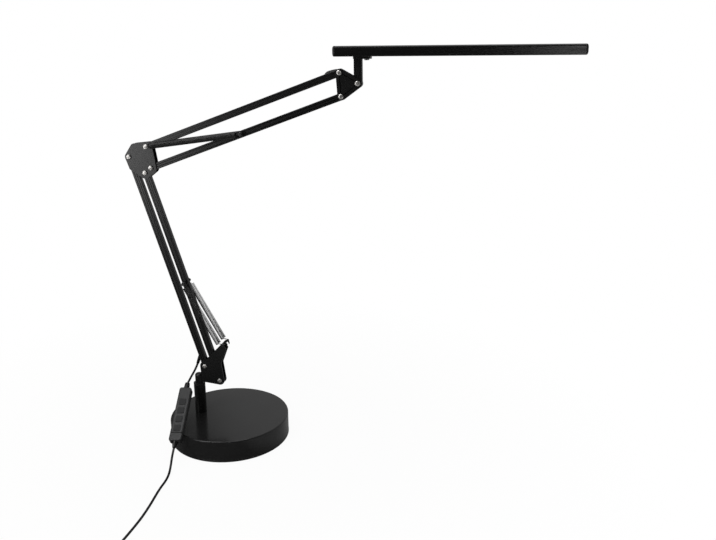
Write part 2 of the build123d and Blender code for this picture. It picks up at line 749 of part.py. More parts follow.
with BuildPart() as mount_plate:
    with BuildSketch(Plane.XY.offset(head_bottom)):
        with Locations((channel_left, 0)):
            Rectangle(MOUNT_PLATE_L, insert_w, align=(Align.MIN, Align.CENTER))
        with Locations((head_screw_x, 0)):
            with GridLocations(0, HEAD_SCREW_PITCH, 1, 2):
                Circle(HEAD_SCREW_D / 2, mode=Mode.SUBTRACT)
    extrude(amount=MOUNT_PLATE_T)
save_tilted(mount_plate.part, "head_mount_plate")

diffuser_l = channel_right - mount_plate_right
with BuildPart() as diffuser:
    with BuildSketch(Plane.XY.offset(head_bottom + MOUNT_PLATE_T - DIFFUSER_T)):
        with Locations((mount_plate_right, 0)):
            Rectangle(diffuser_l, insert_w, align=(Align.MIN, Align.CENTER))
    extrude(amount=DIFFUSER_T)
save_tilted(diffuser.part, "diffuser")

board_middle = (mount_plate_right + channel_right) / 2
board_l = diffuser_l - 2 * HEAD_CAP_T
with BuildPart() as led_board:
    with BuildSketch(Plane.XY.offset(head_roof)):
        with Locations((board_middle, 0)):
            Rectangle(board_l, LED_BOARD_W)
    extrude(amount=-LED_BOARD_T)
save_tilted(led_board.part, "led_board")

with BuildPart() as leds:
    with BuildSketch(Plane.XY.offset(head_roof - LED_BOARD_T)):
        with Locations((board_middle, 0)):
            with GridLocations(board_l / LEDS_PER_ROW, LED_ROW_PITCH, LEDS_PER_ROW, LED_ROWS):
                Rectangle(LED_L, LED_W)
    extrude(amount=-LED_T)
save_tilted(leds.part, "leds")

# In-line control: two shells, a board and four sprung buttons
control_axis = Vector(-sin(radians(CONTROL_TURN)) * cos(radians(CONTROL_PITCH)),
                      cos(radians(CONTROL_TURN)) * cos(radians(CONTROL_PITCH)),
                      sin(radians(CONTROL_PITCH)))
control_side = Vector(cos(radians(CONTROL_TURN)), sin(radians(CONTROL_TURN)), 0)
control_low = Vector(CONTROL_LOW_X, CONTROL_LOW_Y, CONTROL_LOW_Z)
control_plane = Plane(control_low, x_dir=control_side, z_dir=control_side.cross(control_axis))
control_depth = Axis(control_low, control_plane.z_dir)
control_roof = CONTROL_T / 2 - CONTROL_WALL
button_spots = [(0, BUTTON_FIRST + BUTTON_PITCH * i) for i in range(BUTTONS)]
flange_top = control_roof - SHOULDER_GAP
plunger_bottom = BUTTON_TRAVEL + SHOULDER_GAP


def control_outline(inset):
    with Locations((0, CONTROL_L / 2)):
        RectangleRounded(CONTROL_W - 2 * inset, CONTROL_L - 2 * inset, CONTROL_CORNER_R - inset)


with BuildPart() as seam_groove:
    with BuildSketch(Plane(control_low + control_axis * SEAM_UP, x_dir=control_side, z_dir=control_axis)):
        Rectangle(2 * CONTROL_W, 2 * CONTROL_T)
        RectangleRounded(CONTROL_W - 2 * SEAM_DEPTH, CONTROL_T - 2 * SEAM_DEPTH, CONTROL_WALL - SEAM_DEPTH,
                         mode=Mode.SUBTRACT)
    extrude(amount=SEAM_W)

with BuildPart() as control_front:
    with BuildSketch(control_plane):
        control_outline(0)
    extrude(amount=CONTROL_T / 2)
    fillet(control_front.faces().sort_by(control_depth)[-1].edges(), CONTROL_EDGE_R)
    with BuildSketch(control_plane):
        control_outline(CONTROL_WALL)
    extrude(amount=control_roof, mode=Mode.SUBTRACT)
    with BuildSketch(control_plane):
        with Locations(button_spots):
            RectangleRounded(BUTTON_SIZE + 2 * BUTTON_SIDE_GAP, BUTTON_SIZE + 2 * BUTTON_SIDE_GAP,
                             BUTTON_CORNER_R + BUTTON_SIDE_GAP)
    extrude(amount=CONTROL_T, mode=Mode.SUBTRACT)
    add(seam_groove.part, mode=Mode.SUBTRACT)
save(control_front.part, "control_front_shell")

with BuildPart() as control_back:
    with BuildSketch(control_plane):
        control_outline(0)
    extrude(amount=-CONTROL_T / 2)
    fillet(control_back.faces().sort_by(control_depth)[0].edges(), CONTROL_FLOOR_EDGE_R)
    with BuildSketch(control_plane):
        control_outline(CONTROL_WALL)
    extrude(amount=-control_roof, mode=Mode.SUBTRACT)
    add(seam_groove.part, mode=Mode.SUBTRACT)
save(control_back.part, "control_back_shell")

with BuildPart() as control_board:
    with BuildSketch(control_plane):
        control_outline(CONTROL_WALL + BOARD_GAP)
    extrude(amount=-BOARD_T)
save(control_board.part, "control_board")

for number, spot in enumerate(button_spots, start=1):
    with BuildPart() as button:
        with BuildSketch(control_plane.offset(flange_top)):
            with Locations(spot):
                RectangleRounded(BUTTON_SIZE, BUTTON_SIZE, BUTTON_CORNER_R)
        extrude(amount=CONTROL_T / 2 + BUTTON_PROUD - flange_top)
        with BuildSketch(control_plane.offset(flange_top)):
            with Locations(spot):
                Rectangle(BUTTON_SIZE + 2 * BUTTON_FLANGE, BUTTON_SIZE + 2 * BUTTON_FLANGE)
        extrude(amount=-BUTTON_FLANGE_T)
        with BuildSketch(control_plane.offset(plunger_bottom)):
            with Locations(spot):
                Circle(PLUNGER_D / 2)
        extrude(amount=flange_top - BUTTON_FLANGE_T - plunger_bottom)
    save(button.part, f"control_button_{number}")

lead_low = control_low - control_axis * RELIEF_L
lead_high = control_low + control_axis * (CONTROL_L + RELIEF_L)
control_high = control_low + control_axis * CONTROL_L
for end, root, tip, tip_d in (("lower", control_low, lead_low, RELIEF_TIP_D),
                              ("upper", control_high, lead_high, RELIEF_HIGH_TIP_D)):
    with BuildPart() as relief:
        direction = (tip - root).normalized()
        with BuildSketch(Plane(root, z_dir=direction)):
            Circle(RELIEF_D / 2)
        with BuildSketch(Plane(tip, z_dir=direction)):
            Circle(tip_d / 2)
        loft()
    save(relief.part, f"control_relief_{end}")


# Lead: straight runs joined by the largest arcs that fit, then the put-away coil and its plug
def lead_tube(points, label):
    runs = [b - a for a, b in zip(points, points[1:])]
    turns = [a.get_angle(b) for a, b in zip(runs, runs[1:])]
    shorter = [min(a.length, b.length) for a, b in zip(runs, runs[1:])]
    radii = [ARC_SHARE * run / tan(radians(turn / 2)) for run, turn in zip(shorter, turns)]
    with BuildPart() as tube:
        with BuildLine() as route:
            FilletPolyline(*points, radius=radii)
        line = route.wire()
        with BuildSketch(Plane(line @ 0, z_dir=line % 0)):
            Circle(LEAD_D / 2)
        sweep(path=line, clean=False)
    expected = pi * LEAD_D ** 2 / 4 * line.length
    print(f"{label}: length {line.length:.0f} mm, volume ratio {tube.part.volume / expected:.4f},",
          f"radii {[round(radius) for radius in radii]}")
    save(tube.part, label)


coil_level = LEAD_D / 2 + TIE_T + TIE_GAP
coil_step = LEAD_D + COIL_GAP
coil_outer_r = COIL_INNER_R + coil_step * COIL_TURNS / 2
coil_start = Vector(COIL_X - coil_outer_r, COIL_Y + LEAD_D, coil_level)
table_level = LEAD_D / 2 + TABLE_GAP

lead_tube([lead_top, lead_top + lead_top_direction * BOOT_RUN,
           lead_high + control_axis * RELIEF_HIGH_RUN, lead_high], "lead_upper")
lead_tube([lead_low, lead_low - control_axis * RELIEF_LOW_RUN, Vector(-51.4, -131.0, 8.3),
           Vector(-48.0, -146.5, 3.2), Vector(-46.6, -162.5, table_level),
           Vector(-46.7, -179.5, table_level), Vector(-45.3, -199.0, table_level),
           Vector(-42.6, -226.0, table_level), Vector(-41.2, -258.0, table_level),
           Vector(-42.6, -290.0, table_level), Vector(-44.3, -316.0, table_level),
           coil_start + Vector(0, COIL_RUN, 0), coil_start], "lead_lower")


def coil_point(turn):
    half = COIL_TURNS / 2
    radius = coil_outer_r - coil_step * turn if turn < half else COIL_INNER_R + coil_step * (turn - half)
    climb = min(max(2 * (turn - half) + 0.5, 0), 1)
    angle = pi + 2 * pi * turn
    return Vector(COIL_X + radius * cos(angle), COIL_Y + radius * sin(angle), coil_level + coil_step * climb)


def coil_station(quarter):
    turn = quarter / 4
    ahead = coil_point(turn + COIL_NUDGE)
    behind = coil_point(turn - COIL_NUDGE)
    return coil_point(turn), (ahead - behind).normalized()


coil_quarters = 4 * COIL_TURNS + 1
last_point, last_direction = coil_station(coil_quarters)
tail_end = Vector(COIL_X + TAIL_L, last_point.Y + TAIL_DRIFT, PLUG_GRIP_T / 2 + TABLE_GAP)
with BuildLine() as coil_path:
    Line(coil_start, coil_point(0))
    biarc(coil_point(0), Vector(0, -1, 0), *coil_station(1))
    for quarter in range(1, coil_quarters):
        biarc(*coil_station(quarter), *coil_station(quarter + 1))
    tail_turn = last_point + last_direction * TAIL_RUN
    Line(last_point, tail_turn)
    biarc(tail_turn, last_direction, tail_end - Vector(LEAD_D, 0, 0), Vector(1, 0, 0))
    Line(tail_end - Vector(LEAD_D, 0, 0), tail_end)
coil_line = coil_path.wire()
least_gap(coil_line, LEAD_D, 12 * coil_quarters, "lead_coil")
save(wound_tube(coil_line, LEAD_D, COIL_SIDES), "lead_coil")

tie_in = COIL_INNER_R - LEAD_D / 2 - TIE_INNER_GAP
tie_out = (last_point - Vector(COIL_X, COIL_Y, last_point.Z)).length + LEAD_D / 2 + TIE_GAP
tie_h = LEAD_D + coil_step + 2 * TIE_GAP
tie_spoke = in_space(polar(1, TIE_ANGLE)).rotate(Axis.X, -90)
tie_plane = Plane(Vector(COIL_X, COIL_Y, 0), x_dir=tie_spoke, z_dir=tie_spoke.cross(Vector(0, 0, 1)))
with BuildPart() as lead_tie:
    with BuildSketch(tie_plane):
        with Locations((tie_in - TIE_T, 0)):
            Rectangle(tie_out - tie_in + 2 * TIE_T, tie_h + 2 * TIE_T, align=(Align.MIN, Align.MIN))
        with Locations((tie_in, TIE_T)):
            Rectangle(tie_out - tie_in, tie_h, align=(Align.MIN, Align.MIN), mode=Mode.SUBTRACT)
    extrude(amount=TIE_W / 2, both=True)
save(lead_tie.part, "lead_tie")

grip_end = tail_end + Vector(PLUG_GRIP_L, 0, 0)
with BuildPart() as plug_grip:
    with BuildSketch(Plane(tail_end, x_dir=(0, 1, 0), z_dir=(1, 0, 0))):
        RectangleRounded(PLUG_GRIP_W, PLUG_GRIP_T, PLUG_GRIP_R)
    extrude(amount=PLUG_GRIP_L)
    with BuildSketch(Plane(grip_end, x_dir=(0, 1, 0), z_dir=(1, 0, 0))):
        with Locations((0, PLUG_SHELL_WALL - PLUG_SHELL_T / 2)):
            Rectangle(PLUG_SHELL_W - 2 * PLUG_SHELL_WALL, PLUG_TONGUE_T, align=(Align.CENTER, Align.MIN))
    extrude(amount=PLUG_SHELL_L - PLUG_TONGUE_T)
save(plug_grip.part, "plug_grip")

with BuildPart() as plug_shell:
    with BuildSketch(Plane(grip_end, x_dir=(0, 1, 0), z_dir=(1, 0, 0))):
        Rectangle(PLUG_SHELL_W, PLUG_SHELL_T)
        Rectangle(PLUG_SHELL_W - 2 * PLUG_SHELL_WALL, PLUG_SHELL_T - 2 * PLUG_SHELL_WALL, mode=Mode.SUBTRACT)
    extrude(amount=PLUG_SHELL_L)
save(plug_shell.part, "plug_shell")
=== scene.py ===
# Desk lamp with a spring-balanced arm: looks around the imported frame, all in metres
import math

import bpy
import bmesh
from mathutils import Matrix, Vector


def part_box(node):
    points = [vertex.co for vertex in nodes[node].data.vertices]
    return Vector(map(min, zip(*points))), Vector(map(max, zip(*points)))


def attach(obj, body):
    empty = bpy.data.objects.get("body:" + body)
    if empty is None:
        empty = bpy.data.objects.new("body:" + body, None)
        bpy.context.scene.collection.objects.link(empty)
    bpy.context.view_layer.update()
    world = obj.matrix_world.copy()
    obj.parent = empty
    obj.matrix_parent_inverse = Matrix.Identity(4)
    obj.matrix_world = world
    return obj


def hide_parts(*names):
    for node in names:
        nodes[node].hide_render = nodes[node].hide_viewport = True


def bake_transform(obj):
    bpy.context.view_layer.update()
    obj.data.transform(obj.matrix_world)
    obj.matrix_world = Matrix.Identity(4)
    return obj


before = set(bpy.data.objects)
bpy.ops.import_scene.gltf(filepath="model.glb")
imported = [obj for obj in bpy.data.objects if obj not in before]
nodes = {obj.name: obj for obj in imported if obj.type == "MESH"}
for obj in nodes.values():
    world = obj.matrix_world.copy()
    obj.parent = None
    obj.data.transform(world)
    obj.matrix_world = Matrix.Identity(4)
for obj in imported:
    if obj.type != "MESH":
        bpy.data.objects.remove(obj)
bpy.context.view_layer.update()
scene = bpy.context.scene
mm = 0.001
print("frame loaded:", len(nodes), "nodes")


def point(*millimetres):
    return Vector(millimetres) * mm


def linearColour(hexCode):  # sRGB hex to the linear values that shaders take
    parts = [int(hexCode[i:i + 2], 16) / 255 for i in (1, 3, 5)]
    linear = [c / 12.92 if c <= 0.04045 else ((c + 0.055) / 1.055) ** 2.4 for c in parts]
    return (*linear, 1.0)


def addNode(tree, kind, values=None, links=None, **settings):
    made = tree.nodes.new(kind)
    for key, value in settings.items():
        setattr(made, key, value)
    for key, value in (values or {}).items():
        made.inputs[key].default_value = value
    for key, source in (links or {}).items():
        tree.links.new(source, made.inputs[key])
    return made


def mapRange(tree, value, span, result=(0.0, 1.0)):
    made = addNode(tree, "ShaderNodeMapRange", {"From Min": span[0], "From Max": span[1],
                   "To Min": result[0], "To Max": result[1]}, {"Value": value})
    return made.outputs["Result"]


def multiply(tree, first, second):
    made = addNode(tree, "ShaderNodeMath", links={0: first, 1: second}, operation="MULTIPLY")
    return made.outputs[0]


def perMetre(sizeMm):  # noise scale whose grains are about this wide
    return 1000.0 / sizeMm


noise = {"span": (0.3, 0.7),  # nearly all its values lie in here
         "cloudDetail": 5.0, "cloudRough": 0.6, "grainDetail": 3.0, "grainRough": 0.55}


def mixFinish(name, look):
    finish = bpy.data.materials.new(name)
    finish.use_nodes = True
    tree = finish.node_tree
    skin = tree.nodes["Principled BSDF"]
    skin.inputs["Metallic"].default_value = look.get("metallic", 0.0)
    skin.inputs["IOR"].default_value = look.get("ior", 1.5)
    place = addNode(tree, "ShaderNodeTexCoord").outputs["Object"]
    drawn = addNode(tree, "ShaderNodeMapping", {"Scale": look.get("stretch", (1, 1, 1))},
                    {"Vector": place})
    clouds = addNode(tree, "ShaderNodeTexNoise", {"Scale": perMetre(look["cloudMm"]),
                     "Detail": noise["cloudDetail"], "Roughness": noise["cloudRough"]},
                     {"Vector": place})
    tones = addNode(tree, "ShaderNodeValToRGB", links={"Fac": clouds.outputs["Fac"]})
    for stop, at, tone in zip(tones.color_ramp.elements, noise["span"], look["tones"]):
        stop.position = at
        stop.color = linearColour(tone)
    tree.links.new(tones.outputs["Color"], skin.inputs["Base Color"])
    grain = addNode(tree, "ShaderNodeTexNoise", {"Scale": perMetre(look["grainMm"]),
                    "Detail": noise["grainDetail"], "Roughness": noise["grainRough"]},
                    {"Vector": drawn.outputs["Vector"]})
    sheen = mapRange(tree, grain.outputs["Fac"], noise["span"], look["rough"])
    tree.links.new(sheen, skin.inputs["Roughness"])
    relief = addNode(tree, "ShaderNodeBump", {"Strength": 1.0, "Distance": look["reliefMm"] * mm},
                     {"Height": grain.outputs["Fac"]})
    tree.links.new(relief.outputs["Normal"], skin.inputs["Normal"])
    return finish


finishes = {
    # powder coat baked on steel: even satin black, its orange peel drawn at 1.6 mm so that it shows
    "black_coat": mixFinish("satin_black_powder_coat", {
        "tones": ("#0c0c0c", "#111111"), "cloudMm": 40, "grainMm": 1.6,
        "rough": (0.24, 0.31), "reliefMm": 0.005, "ior": 1.5}),
    # extruded aluminium, black anodised: faint lines along the bar and a dull sheen
    "black_aluminium": mixFinish("black_anodised_extrusion", {
        "tones": ("#080808", "#0d0d0d"), "cloudMm": 60, "grainMm": 1.4, "stretch": (0.02, 1, 1),
        "rough": (0.2, 0.27), "reliefMm": 0.004, "ior": 1.5}),
    # cast iron ballast: dark, rough and grainy
    "ballast": mixFinish("sand_cast_iron", {
        "tones": ("#2b2a29", "#3a3836"), "cloudMm": 9, "grainMm": 1.2,
        "rough": (0.6, 0.8), "reliefMm": 0.15, "metallic": 0.6}),
    # nickel plate on rolled steel: bright, slightly warm, fine polishing scratches
    "bright_steel": mixFinish("nickel_plated_steel", {
        "tones": ("#dcdad6", "#e8e6e3"), "cloudMm": 3, "grainMm": 0.5,
        "rough": (0.3, 0.4), "reliefMm": 0.004, "metallic": 1.0}),
    # drawn spring wire and pins, black-oxide coated: oily black with a soft glint on each turn
    "black_oxide": mixFinish("black_oxide_steel", {
        "tones": ("#0d0d0d", "#171716"), "cloudMm": 5, "grainMm": 0.6,
        "rough": (0.28, 0.4), "reliefMm": 0.006, "ior": 1.7}),
    # zinc-plated sheet: grey, faintly mottled
    "plain_steel": mixFinish("zinc_plated_sheet", {
        "tones": ("#8d8f90", "#a9abac"), "cloudMm": 7, "grainMm": 0.8,
        "rough": (0.35, 0.5), "reliefMm": 0.01, "metallic": 1.0}),
    # moulded ABS with a spark-eroded texture: flat dark grey-black, fine pits
    "black_plastic": mixFinish("textured_black_abs", {
        "tones": ("#1a1a1a", "#202020"), "cloudMm": 25, "grainMm": 0.9,
        "rough": (0.48, 0.6), "reliefMm": 0.03, "ior": 1.52}),
    # the control's ABS: a shade greyer than the black, with a finer texture
    "grey_plastic": mixFinish("textured_grey_abs", {
        "tones": ("#212122", "#282829"), "cloudMm": 22, "grainMm": 0.9,
        "rough": (0.4, 0.5), "reliefMm": 0.02, "ior": 1.52}),
    # moulded silicone keys: softer and duller than the shell
    "button_rubber": mixFinish("moulded_silicone", {
        "tones": ("#1b1b1c", "#212122"), "cloudMm": 8, "grainMm": 0.6,
        "rough": (0.5, 0.62), "reliefMm": 0.012, "ior": 1.43}),
    # turned black nylon: close to the coat round it, a little waxier
    "bush_nylon": mixFinish("turned_black_nylon", {
        "tones": ("#121212", "#1a1a1a"), "cloudMm": 10, "grainMm": 0.5,
        "rough": (0.4, 0.5), "reliefMm": 0.01, "ior": 1.53}),
    # die-cut foam: pale grey with open cells
    "foam_pad": mixFinish("die_cut_eva_foam", {
        "tones": ("#8f8e8b", "#a3a29f"), "cloudMm": 6, "grainMm": 0.7,
        "rough": (0.8, 0.95), "reliefMm": 0.12, "ior": 1.45}),
    # extruded soft PVC: smooth deep black, slow waves from the extruder
    "cable_jacket": mixFinish("extruded_black_pvc", {
        "tones": ("#050505", "#090909"), "cloudMm": 14, "grainMm": 1.2,
        "rough": (0.26, 0.33), "reliefMm": 0.005, "ior": 1.5}),
    # frosted acrylic sheet: milky white, dull to the light
    "diffuser_plastic": mixFinish("frosted_opal_acrylic", {
        "tones": ("#e9e9e4", "#f0f0ec"), "cloudMm": 30, "grainMm": 0.5,
        "rough": (0.42, 0.52), "reliefMm": 0.01, "ior": 1.49}),
    # glass-epoxy board under solder mask: deep green with a weave
    "circuit_board": mixFinish("solder_masked_glass_epoxy", {
        "tones": ("#14402a", "#1a4c33"), "cloudMm": 4, "grainMm": 0.7,
        "rough": (0.3, 0.42), "reliefMm": 0.02, "ior": 1.55}),
    # aluminium board printed white: clean, slightly glossy
    "led_substrate": mixFinish("white_solder_mask_on_aluminium", {
        "tones": ("#dcdcd6", "#e6e6e1"), "cloudMm": 6, "grainMm": 0.7,
        "rough": (0.36, 0.46), "reliefMm": 0.01, "ior": 1.5}),
    # LEDs cast in silicone with phosphor: egg-yolk yellow, smooth
    "led_package": mixFinish("phosphor_in_silicone", {
        "tones": ("#d9b43a", "#e3c253"), "cloudMm": 1.5, "grainMm": 0.4,
        "rough": (0.3, 0.4), "reliefMm": 0.01, "ior": 1.42}),
}
# the base's coat is thicker, glossier and a shade greyer than that of the arm
baseCoat = mixFinish("thick_black_powder_coat", {
    "tones": ("#191919", "#1e1e1e"), "cloudMm": 45, "grainMm": 1.8,
    "rough": (0.14, 0.19), "reliefMm": 0.003, "ior": 1.5})
for name, node in nodes.items():
    slotName = node.data.materials[0].name.split(".")[0]
    node.data.materials.clear()
    node.data.materials.append(baseCoat if name == "base_cover" else finishes[slotName])
print("finishes:", len(finishes))


def cleanMesh(name, verts, faces):
    mesh = bpy.data.meshes.new(name)
    mesh.from_pydata([tuple(v) for v in verts], [], faces)
    mesh.validate()
    work = bmesh.new()
    work.from_mesh(mesh)
    bmesh.ops.delete(work, geom=[v for v in work.verts if not v.link_faces], context="VERTS")
    bmesh.ops.recalc_face_normals(work, faces=work.faces)
    work.to_mesh(mesh)
    work.free()
    return mesh


def addPiece(name, mesh, finish, smooth=True, sharp=None):  # edges over the sharp angle stay hard
    mesh.polygons.foreach_set("use_smooth", [smooth] * len(mesh.polygons))
    if sharp:
        mesh.set_sharp_from_angle(angle=math.radians(sharp))
    mesh.materials.append(finish)
    piece = bpy.data.objects.new(name, mesh)
    scene.collection.objects.link(piece)
    return piece


def meshPiece(name, verts, faces, slot, smooth=True, sharp=None):
    piece = addPiece(name, cleanMesh(name, verts, faces), finishes[slot], smooth, sharp)
    return piece


def bridge(rings, count, closed=False):  # faces between rings of this many points each
    faces = []
    for i in range(rings if closed else rings - 1):
        a, b = i * count, (i + 1) % rings * count
        faces += [(a + k, a + (k + 1) % count, b + (k + 1) % count, b + k) for k in range(count)]
    return faces


def endFaces(rings, count):
    return [tuple(reversed(range(count))), tuple(range((rings - 1) * count, rings * count))]


def roundedRing(wide, high, radii, cornerPoints=6):  # half sizes, and a radius for each corner
    ring = []
    corners = ((1, 1), (-1, 1), (-1, -1), (1, -1))
    for quarter, ((toSide, toTop), radius) in enumerate(zip(corners, radii)):
        for k in range(cornerPoints):
            turn = math.pi / 2 * (quarter + k / (cornerPoints - 1))
            ring.append((toSide * (wide - radius) + radius * math.cos(turn),
                         toTop * (high - radius) + radius * math.sin(turn)))
    return ring


def sweptTube(line, radius, sides):  # rings carried along the line without twisting
    verts = []
    ahead = (line[1] - line[0]).normalized()
    spoke = ahead.orthogonal().normalized()
    for i, middle in enumerate(line):
        before = line[max(i - 1, 0)]
        after = line[min(i + 1, len(line) - 1)]
        heading = (after - before).normalized()
        spoke = (spoke - heading * spoke.dot(heading)).normalized()
        other = heading.cross(spoke)
        for k in range(sides):
            turn = 2 * math.pi * k / sides
            verts.append(middle + (spoke * math.cos(turn) + other * math.sin(turn)) * radius)
    return verts, bridge(len(line), sides) + endFaces(len(line), sides)


def routeCurve(name, route, steps):
    curve = bpy.data.curves.new(name, "CURVE")
    curve.dimensions = "3D"
    spline = curve.splines.new("NURBS")
    spline.points.add(len(route) - 1)
    for control, place in zip(spline.points, route):
        control.co = (*place, 1.0)
    spline.order_u = 3
    spline.use_endpoint_u = True
    curve.resolution_u = steps
    piece = bpy.data.objects.new(name, curve)
    scene.collection.objects.link(piece)
    return piece


def curveLine(piece):  # the spline's own points, from the curve with no bevel
    bpy.context.view_layer.update()
    mesh = bpy.data.meshes.new_from_object(piece)
    line = [v.co.copy() for v in mesh.vertices]
    bpy.data.meshes.remove(mesh)
    return line


def lineLength(line):
    return sum((b - a).length for a, b in zip(line, line[1:]))


# Lead: out of the rear tube's boot, through the control, along the table into a tied coil
lead = {
    "diameter": 3.5 * mm, "sides": 20, "upperSteps": 24, "lowerSteps": 8, "roundSteps": 5,
    "upperRoute": [(-51.771, 0, 123.694), (-54.893, 0, 115.253), (-63.5, -8.6, 98.5),
                   (-66.071, -14.113, 91.936)],
    "stubLength": 6.5 * mm,
    "lowerRoute": [(-53.742, -110.362, 27.466), (-52.048, -123.580, 18.612), (-51.4, -131, 8.3),
                   (-48, -146.5, 3.2), (-46.6, -162.5, 1.8), (-46.7, -179.5, 1.8),
                   (-45.3, -199, 1.8), (-42.6, -226, 1.8), (-41.2, -258, 1.8), (-42.6, -290, 1.8),
                   (-44.3, -316, 1.8), (-44.5, -338.5, 2.75), (-44.5, -358.5, 2.75)],
    "coilMiddle": (-16.0, -362.0), "coilOuter": 28.5, "coilInner": 10.5, "coilStep": 4.0,
    "coilTurns": 9.25, "inwardTurns": 4.5, "climbTurns": 0.5, "coilLevel": 2.75, "pointsPerTurn": 16,
    "tail": [(-18, 1.0, 1.2), (-7, 0, 0), (0, 0, 0)],  # from the end of the plug's grip
    "carries": ["control_front_shell", "control_back_shell", "control_relief_lower",
                "control_relief_upper", "lead_tie", "plug_grip", "plug_shell"],
}
upperGuide = routeCurve("lead_upper_guide", [point(*p) for p in lead["upperRoute"]],
                        lead["upperSteps"])
upperLine = curveLine(upperGuide)
bpy.data.objects.remove(upperGuide)
gone = 0.0
for splitAt in range(1, len(upperLine)):
    gone += (upperLine[splitAt] - upperLine[splitAt - 1]).length
    if gone > lead["stubLength"]:
        break
print("upper lead:", round(lineLength(upperLine) / mm, 1), "mm, stub", round(gone / mm, 1))
stubTube = sweptTube(upperLine[:splitAt + 1], lead["diameter"] / 2, lead["sides"])
stub = meshPiece("lead_at_boot", *stubTube, "cable_jacket")
upperTube = sweptTube(upperLine[splitAt:], lead["diameter"] / 2, lead["sides"])
upperLead = meshPiece("lead_above_control", *upperTube, "cable_jacket")
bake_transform(stub)
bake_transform(upperLead)
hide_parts("lead_upper")


def coilRoute():  # a flat spiral in, half a turn up, and a second spiral out on top of it
    route = []
    inside = (1 + math.cos(2 * math.pi / lead["pointsPerTurn"])) / 2  # the spline cuts its corners
    for step in range(1, int(lead["coilTurns"] * lead["pointsPerTurn"]) + 1):
        turn = step / lead["pointsPerTurn"]
        past = turn - lead["inwardTurns"]
        if past < 0:
            radius = lead["coilOuter"] - lead["coilStep"] * turn
        else:
            radius = lead["coilInner"] + lead["coilStep"] * past
        climb = min(max(past / lead["climbTurns"] + 0.5, 0), 1)
        angle = math.pi + 2 * math.pi * turn
        route.append((lead["coilMiddle"][0] + radius / inside * math.cos(angle),
                      lead["coilMiddle"][1] + radius / inside * math.sin(angle),
                      lead["coilLevel"] + lead["coilStep"] * climb))
    return route


gripLow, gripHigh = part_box("plug_grip")
plugEnd = (gripLow.x / mm, (gripLow.y + gripHigh.y) / 2 / mm, (gripLow.z + gripHigh.z) / 2 / mm)
tail = [tuple(a + b for a, b in zip(plugEnd, offset)) for offset in lead["tail"]]
wholeRoute = [lead["upperRoute"][-1]] + lead["lowerRoute"] + coilRoute() + tail
lowerLead = routeCurve("lead_to_plug", [point(*p) for p in wholeRoute], lead["lowerSteps"])
lowerLine = curveLine(lowerLead)
lowerLead.data.bevel_depth = lead["diameter"] / 2
lowerLead.data.bevel_resolution = lead["roundSteps"]
lowerLead.data.use_fill_caps = True
lowerLead.data.materials.append(finishes["cable_jacket"])
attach(lowerLead, "base")
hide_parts("lead_lower", "lead_coil")
print("lower lead:", round(lineLength(lowerLine), 3), "m")

# Balance springs: black wire, the lower pair stretched open and the upper pair close-wound
springs = {
    "side": 11.6, "clear": 0.2, "sides": 8, "hookSteps": 12, "endTurns": 0.5,
    "lower": {"from": (-1.72, 163.25), "fromPin": 2.4, "coilFrom": (-8.6, 166.0),
              "coilTo": (-59.6, 259.1), "to": (-62.436, 264.487), "toPin": 4.0,
              "outer": 9.6, "wire": 1.25, "turns": 56, "pointsPerTurn": 18,
              "bodies": ("turret", "lower_front"), "share": (-0.08, 0.75)},
    "upper": {"from": (-107.575, 482.05), "fromPin": 4.0, "coilFrom": (-101.0, 482.97),
              "coilTo": (36.2, 502.49), "to": (43.123, 503.461), "toPin": 4.0,
              "outer": 8.6, "wire": 1.4, "turns": 92, "pointsPerTurn": 14,
              "bodies": ("elbow", "upper_bottom"), "share": (0.0, 0.32)},
}


def hookWire(pin, toward, side, wire, pinWide):  # round the pin, from its tip to the coil's side
    loop = pinWide / 2 + springs["clear"] + wire / 2
    out = (toward - pin).normalized()
    across = out.cross(side)
    line = [pin + across * loop + out * wire]
    for k in range(springs["hookSteps"] + 1):
        turn = math.pi * k / springs["hookSteps"]
        line.append(pin + across * loop * math.cos(turn) - out * loop * math.sin(turn))
    return line


def springLine(look, y):
    side = Vector((0, 1, 0))
    ends = [Vector((look[key][0], y, look[key][1])) for key in ("from", "coilFrom", "coilTo", "to")]
    axis = (ends[2] - ends[1]).normalized()
    span = (ends[2] - ends[1]).length
    across = axis.cross(side)
    coil = (look["outer"] - look["wire"]) / 2
    count = look["turns"] * look["pointsPerTurn"]
    line = hookWire(ends[0], ends[1], side, look["wire"], look["fromPin"])
    for k in range(count + 1):
        turn = k / look["pointsPerTurn"]
        grow = min(min(turn, look["turns"] - turn) / springs["endTurns"], 1.0)
        radius = coil * grow * grow * (3 - 2 * grow)  # from the axis out to full width
        angle = math.pi + 2 * math.pi * turn
        line.append(ends[1] + axis * span * k / count
                    + (across * math.cos(angle) + side * math.sin(angle)) * radius)
    line += reversed(hookWire(ends[3], ends[2], side, look["wire"], look["toPin"]))
    return [p * mm for p in line]


def balanceSpring(pair, sideName, y):
    look = springs[pair]
    wire = sweptTube(springLine(look, y), look["wire"] / 2 * mm, springs["sides"])
    piece = meshPiece(f"{pair}_balance_spring_{sideName}", *wire, "black_oxide")
    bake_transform(piece)
    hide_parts(f"{pair}_spring_{sideName}")


for sideName, y in (("near", -springs["side"]), ("far", springs["side"])):
    balanceSpring("lower", sideName, y)
    balanceSpring("upper", sideName, y)
print("springs: 4")

